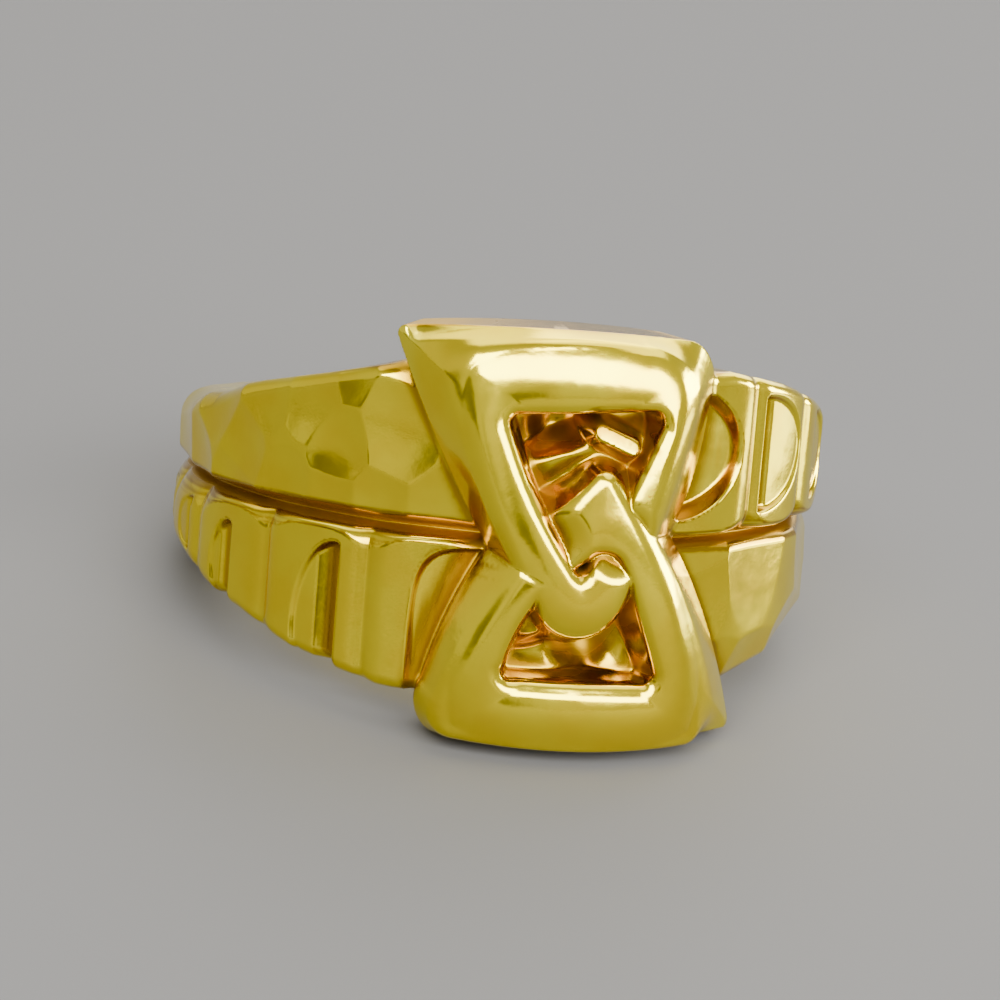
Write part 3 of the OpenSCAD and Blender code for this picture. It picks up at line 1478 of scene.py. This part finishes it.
@dataclass(frozen=True)
class Glow:
    """A soft brighter or darker patch of the studio's surroundings, from inner to outer degrees."""

    azimuth: float
    elevation: float
    inner: float
    outer: float
    strength: float

    def add(self, tree: bpy.types.NodeTree, direction: bpy.types.NodeSocket) -> bpy.types.Node:
        """Lay out the nodes that give the patch's light for a direction.

        Args:
            tree: The world's node tree.
            direction: Socket with the direction looked at.

        Returns:
            The node whose first output is the light.
        """
        facing = tree.nodes.new("ShaderNodeVectorMath")
        facing.operation = "DOT_PRODUCT"
        facing.inputs[1].default_value = toward(self.azimuth, self.elevation)
        tree.links.new(direction, facing.inputs[0])
        spread = tree.nodes.new("ShaderNodeMapRange")
        spread.interpolation_type = "SMOOTHSTEP"
        spread.inputs["From Min"].default_value = math.cos(math.radians(self.outer))
        spread.inputs["From Max"].default_value = math.cos(math.radians(self.inner))
        spread.inputs["To Max"].default_value = self.strength
        tree.links.new(facing.outputs["Value"], spread.inputs["Value"])
        return spread


@dataclass(frozen=True)
class Studio:
    """The pale floor and the soft light round the ring."""

    floor_size: float = 3.0
    floor_finish: PaleFloor = PaleFloor()
    air_colour: Colour = (1.0, 0.98, 0.95)
    air_strength: float = 0.52
    least_strength: float = 0.02
    glows: tuple[Glow, ...] = (
        Glow(60, 30, 20, 60, 0.08),
        Glow(27, 14, 3, 8, 0.9),
        Glow(-45, 38, 10, 40, 0.15),
        Glow(152, 28, 20, 28, 4.0),
        Glow(112, 68, 20, 28, 2.2),
        Glow(-66, 4, 7, 16, -0.4),
        Glow(178, 58, 18, 36, 2.3),
        Glow(165, 5, 8, 20, 1.2),
        Glow(-100, 2, 15, 45, 0.14),
        Glow(-5, 0, 5, 12, -0.35),
        Glow(-18, 13, 4, 12, 0.3),
        Glow(14, 5, 5, 15, 0.2),
        Glow(-44, 2, 6, 14, 0.15),
    )
    lights: tuple[Softbox, ...] = (
        Softbox("front_light", 5.5, 39, 0.4, 0.76, 0.205, 6.85, -19),
        Softbox("right_light", 99, 8, 0.4, 0.15, 0.14, 1.5),
        Softbox("right_card", 88, -4.8, 0.0655, 0.04, 0.02, 0.0115, faces_up=True),
    )

    def build(self) -> None:
        """Lay the floor, and set the surroundings and the lights."""
        half = self.floor_size / 2
        mesh = bpy.data.meshes.new("floor")
        corners = [(-half, -half, 0), (half, -half, 0), (half, half, 0), (-half, half, 0)]
        mesh.from_pydata(corners, [], [(0, 1, 2, 3)])
        floor = bpy.data.objects.new("floor", mesh)
        bpy.context.scene.collection.objects.link(floor)
        mesh.materials.append(self.floor_finish.material())
        self.surround()
        for light in self.lights:
            light.build()

    def surround(self) -> None:
        """Set the light that comes from all round."""
        world = bpy.data.worlds.new("studio_air")
        world.use_nodes = True
        tree = world.node_tree
        air = tree.nodes["Background"]
        air.inputs["Color"].default_value = (*self.air_colour, 1)
        where = tree.nodes.new("ShaderNodeTexCoord")
        total = None
        for glow in self.glows:
            patch = glow.add(tree, where.outputs["Generated"])
            both = tree.nodes.new("ShaderNodeMath")
            both.inputs[1].default_value = self.air_strength
            if total:
                tree.links.new(total.outputs[0], both.inputs[1])
            tree.links.new(patch.outputs[0], both.inputs[0])
            total = both
        least = tree.nodes.new("ShaderNodeMath")
        least.operation = "MAXIMUM"
        least.inputs[1].default_value = self.least_strength
        tree.links.new(total.outputs[0], least.inputs[0])
        tree.links.new(least.outputs[0], air.inputs["Strength"])
        bpy.context.scene.world = world


UPPER_LEFT_FACETS = (
    Facet(29.0, 3.1, 0.17, 0.0, 1.0, 0.045),
    Facet(27.0, 4.7, 0.2, -2.0, -16.0, 0.04),
    Facet(31.0, 1.15, 0.15, 2.0, 9.0, 0.05),
    Facet(21.5, 1.15, 0.16, -2.0, 9.0),
    Facet(38.5, 4.05, 0.09, 3.0, -5.0, 0.05),
    Facet(42.0, 2.5, 0.15, -5.0, 4.0, 0.08),
    Facet(41.0, 1.1, 0.13, 0.0, 9.0, 0.05),
    Facet(45.5, 3.2, 0.13, 2.0, -4.0, 0.035),
    Facet(51.0, 1.15, 0.16, 0.0, 9.0, 0.07),
    Facet(57.5, 2.9, 0.13, -2.0, -6.0, 0.05),
    Facet(61.0, 1.6, 0.15, 3.0, 2.0, 0.06),
    Facet(66.0, 0.8, 0.14, -3.0, 8.0, 0.06),
    Facet(71.5, 2.1, 0.15, 1.0, -8.0, 0.05),
    Facet(78.0, 1.0, 0.15, 2.0, 5.0, 0.05),
    Facet(90.0, 1.0, 0.18, 0.0, 4.0),
    Facet(93.0, 2.0, 0.22, 0.0, -12.0),
    Facet(106.0, 1.2, 0.13, 2.0, 2.0),
    Facet(120.0, 1.0, 0.13, -2.0, -4.0),
    Facet(134.0, 0.9, 0.13, 1.0, 4.0),
    Facet(148.0, 0.9, 0.12, -1.0, -3.0),
    Facet(163.0, 0.8, 0.11, 0.0, 2.0),
    Facet(177.0, 0.8, 0.1, 0.0, 0.0),
)
LOWER_RIGHT_FACETS = (
    Facet(25.5, 0.9, 0.14, 0.0, 8.0, 0.03),
    Facet(29.0, 2.2, 0.11, -2.0, 2.0, 0.03),
    Facet(42.0, 1.5, 0.13, 0.0, 3.0, 0.012),
    Facet(33.5, 3.9, 0.24, 0.0, -18.0, 0.03),
    Facet(44.0, 3.9, 0.32, 2.0, -22.0, 0.02),
    Facet(58.5, 3.1, 0.26, 6.0, -18.0, 0.01),
    Facet(64.0, 1.3, 0.2, 7.0, 3.0, 0.02),
    Facet(77.0, 1.2, 0.08, 0.0, 3.0, 0.02),
    Facet(78.0, 2.4, 0.12, 2.0, -8.0, 0.03),
    Facet(90.0, 1.2, 0.08, 0.0, -2.0, 0.02),
    Facet(103.0, 1.1, 0.17, 0.0, -3.0),
    Facet(117.0, 1.1, 0.13, 0.0, 4.0),
    Facet(131.0, 0.9, 0.13, 0.0, -2.0),
    Facet(146.0, 0.9, 0.12, 0.0, 3.0),
    Facet(160.0, 0.8, 0.11, 0.0, -2.0),
    Facet(174.0, 0.8, 0.1, 0.0, 2.0),
)
LOWER_LEFT_NOTCHES = (
    Notch(13.0, 24.6, 0.5, 6.6, 0.8, 0.8, 0.12, 8.0, 4.0),
    Notch(38.4, 46.4, 0.75, 6.2, 0.74, 0.25, 0.13, 4.0),
    Notch(63.0, 68.4, 0.9, 3.7, 0.62, 0.2, 0.1, 3.4),
    Notch(79.0, 85.0, 0.7, 2.4, 0.28, 0.15, 0.05),
    Notch(97.0, 103.0, 0.65, 1.9, 0.26, 0.14, 0.05),
)
LOWER_LEFT_BEVELS = (Facet(26.2, 4.6, 0.02, -13.5, -2.2, 0.0),)
UPPER_RIGHT_NOTCHES = (
    Notch(18.0, 32.4, 0.75, 4.75, 1.15, 1.15, 0.38, 8.0),
    Notch(39.4, 51.6, 0.75, 4.35, 0.48),
    Notch(61.0, 69.0, 0.7, 3.5, 0.4),
    Notch(79.0, 85.0, 0.7, 2.4, 0.28, 0.15, 0.05),
    Notch(97.0, 103.0, 0.65, 1.9, 0.26, 0.14, 0.05),
)


def make_ring() -> GoldRing:
    """Gather the ring's sub-assemblies with their sizes.

    Returns:
        The ring, ready to build.
    """
    bands = Bands(
        {
            Quarter.UPPER_LEFT: Hammering(facets=UPPER_LEFT_FACETS),
            Quarter.LOWER_RIGHT: Hammering(facets=LOWER_RIGHT_FACETS),
        },
        {
            Quarter.LOWER_LEFT: Ribbing(notches=LOWER_LEFT_NOTCHES, bevels=LOWER_LEFT_BEVELS),
            Quarter.UPPER_RIGHT: Ribbing(
                creases=(12.0, 36.4, 54.0, 72.0, 91.0, 111.0, 131.0, 150.0),
                far_shoulder=1.9,
                notches=UPPER_RIGHT_NOTCHES,
            ),
        },
    )
    upper = TriangleFrame(
        face=(
            Corner(-3.25, 5.08, 0.6, 0.33),
            Corner(0.35, -1.2, 1.45),
            Corner(2.1, 4.65, 1.4, 0.3),
        ),
        opening=(
            Corner(-1.95, 3.75, 0.25, 0.18),
            Corner(0.35, -0.45, 0.2),
            Corner(2.35, 3.9, 0.35),
        ),
        foot=(
            Corner(-6.15, 5.95, 0.25, 0.25),
            Corner(0.35, -1.3, 1.8, 0.7),
            Corner(3.9, 4.88, 1.4, 0.25),
        ),
        wide_edge=-0.09,
        dents=(Dent((-26.5, 10.85, 6.29), (-14.5, 11.0, 6.74)),),
    )
    lower = TriangleFrame(
        face=(
            Corner(-4.75, 5.76, 0.62, 0.35),
            Corner(-0.85, -2.0, 0.35, 0.45),
            Corner(3.3, 5.55, 0.6, 0.25),
        ),
        opening=(
            Corner(-2.9, 3.9, 0.25),
            Corner(-1.05, 0.6, 0.55, 0.45),
            Corner(1.6, 3.85, 0.25),
        ),
        foot=(
            Corner(-7.25, 5.8, 0.25, 0.5),
            Corner(-1.0, -1.5, 1.35, 0.7),
            Corner(3.75, 5.1, 1.1, 0.1),
        ),
        turned_over=True,
        crossing=(0.77, -0.17),
        flat_tip=0.9,
    )
    floors = (
        OpeningFloor(
            upper,
            ((-1.75, 2.5), (0.4, 3.4)),
            (-0.5, 3.6),
            (Mound((0.75, 3.55), (1.75, 3.15), 0.4, 0.18, 11.45, 0.36),),
        ),
        OpeningFloor(
            lower,
            ((-1.0, 1.75), (0.8, 3.15)),
            (-1.2, 2.9),
            (Mound((0.05, 2.0), (-0.2, 1.95), 0.1, 0.16, 11.2),),
            top=3.05,
        ),
    )
    return GoldRing(FingerHole(), bands, (upper, lower), floors, RestingPlace())


def main() -> None:
    """Build the ring, dress it, and set the studio and the camera."""
    logging.basicConfig(level=logging.INFO, format="%(message)s")
    ring = make_ring()
    PhotoCamera().build(ring.place)
    piece = ring.build("ring_body")
    piece.data.materials.append(PolishedGold().material())
    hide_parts("ring")
    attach(piece, "root")
    Studio().build()


if __name__ == "__main__":
    main()
